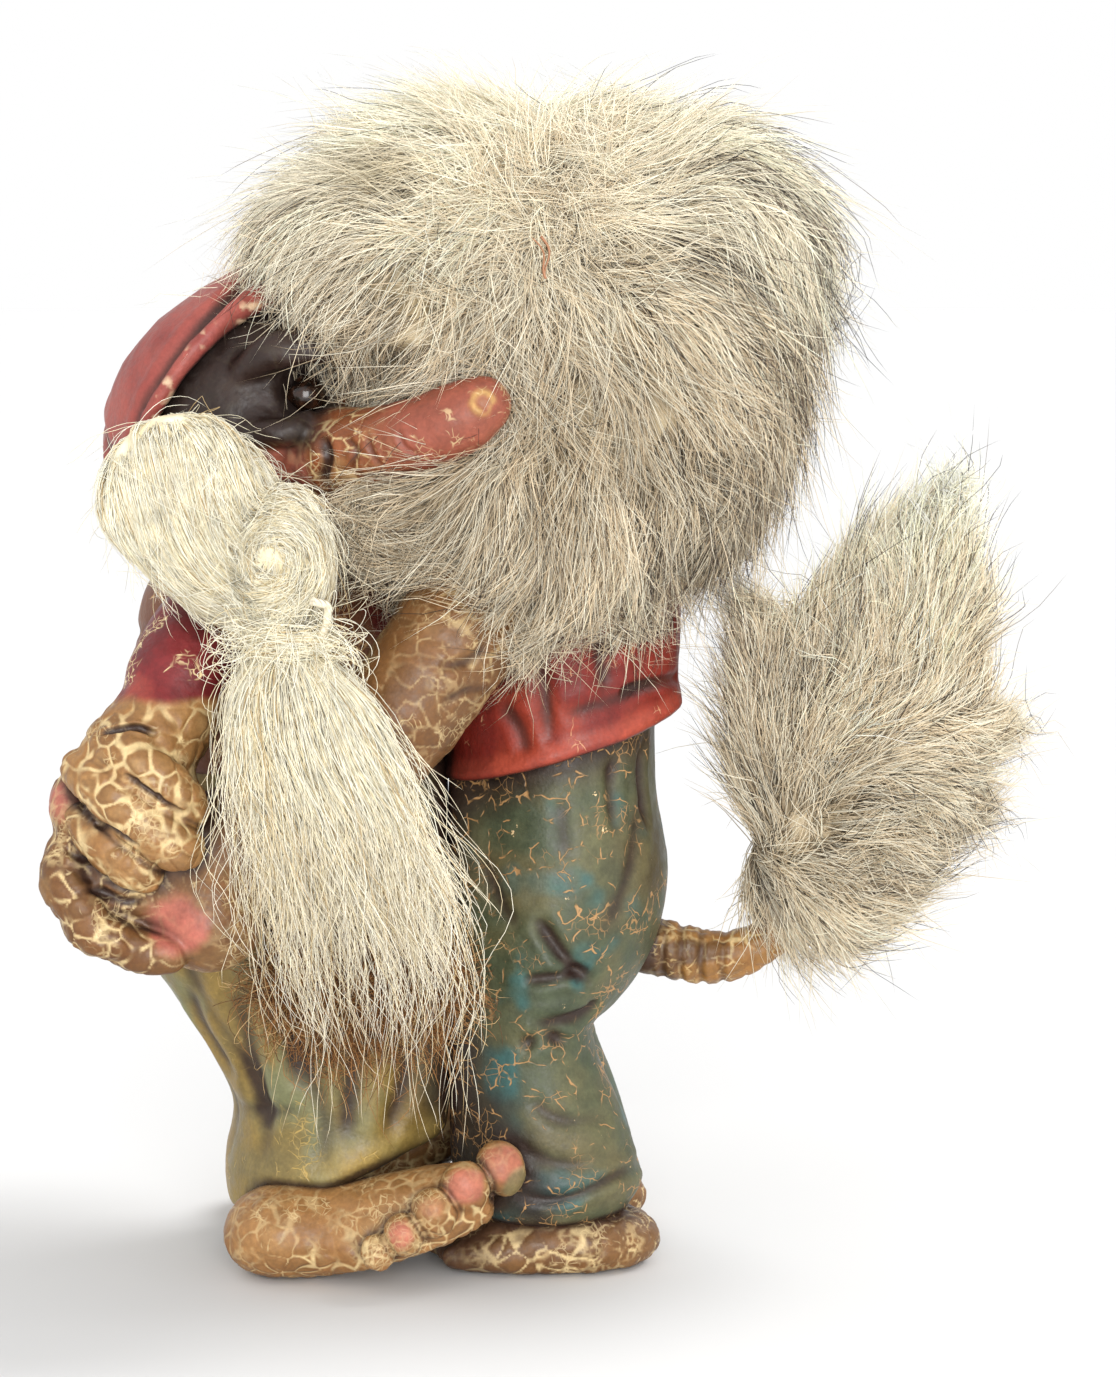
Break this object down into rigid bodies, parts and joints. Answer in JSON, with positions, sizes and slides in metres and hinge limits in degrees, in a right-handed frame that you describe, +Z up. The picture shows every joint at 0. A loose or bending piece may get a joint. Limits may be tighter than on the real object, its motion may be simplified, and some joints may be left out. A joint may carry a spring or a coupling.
{
  "type": "folk figurine",
  "caption": "Free-standing ornament of a dancing pair of trolls, moulded in painted rubber with glued-on fur hair, plaits and a tufted tail that swivels in its socket.",
  "frame": {"origin": "centre of the bounding box at floor level, between the two trolls' feet", "axes": "+Z up; +X from the scarf troll's back towards the tailed troll's back and tail; -Y towards the side that is usually looked at"},
  "size_m": [0.1876, 0.1268, 0.2303],
  "materials": {
    "trouser_paint": "satin",
    "shirt_paint": "satin",
    "skin_paint": "satin",
    "eye_bead": "gloss",
    "hide": "matte",
    "grey_fur": "matte",
    "tail_paint": "satin",
    "iron_wire": "satin",
    "skirt_paint": "satin",
    "bodice_paint": "satin",
    "scarf_paint": "satin",
    "cream_hair": "matte",
    "cotton_string": "matte",
    "brown_wool": "matte"
  },
  "bodies": {
    "figure": {"tailed_troll_trousers": "trouser_paint", "tailed_troll_shirt": "shirt_paint", "tailed_troll_head": "skin_paint", "tailed_troll_left_arm": "skin_paint", "tailed_troll_right_arm": "skin_paint", "tailed_troll_left_foot": "skin_paint", "tailed_troll_right_foot": "skin_paint", "tailed_troll_eyes": "eye_bead", "tailed_troll_hair_hide": "hide", "tailed_troll_hair": "grey_fur", "scarf_troll_skirt": "skirt_paint", "scarf_troll_bodice": "bodice_paint", "scarf_troll_head": "skin_paint", "scarf_troll_headscarf": "scarf_paint", "scarf_troll_right_arm": "skin_paint", "scarf_troll_left_arm": "skin_paint", "scarf_troll_right_foot": "skin_paint", "scarf_troll_left_foot": "skin_paint", "scarf_troll_eyes": "eye_bead", "near_plait_bunch": "cream_hair", "near_plait_end": "cream_hair", "near_plait_tie": "cotton_string", "near_plait_underwool": "brown_wool", "far_plait_bunch": "cream_hair", "far_plait_end": "cream_hair", "far_plait_tie": "cotton_string"},
    "tail": {"tail": "tail_paint", "tail_wire": "iron_wire", "tail_tuft": "grey_fur"}
  },
  "joints": [
    {"name": "tail_swivel", "type": "hinge", "parent": "figure", "child": "tail", "pos_m": [0.0186, 0.004, 0.061], "axis": [1, 0, 0], "range_deg": [-25, 25]}
  ]
}
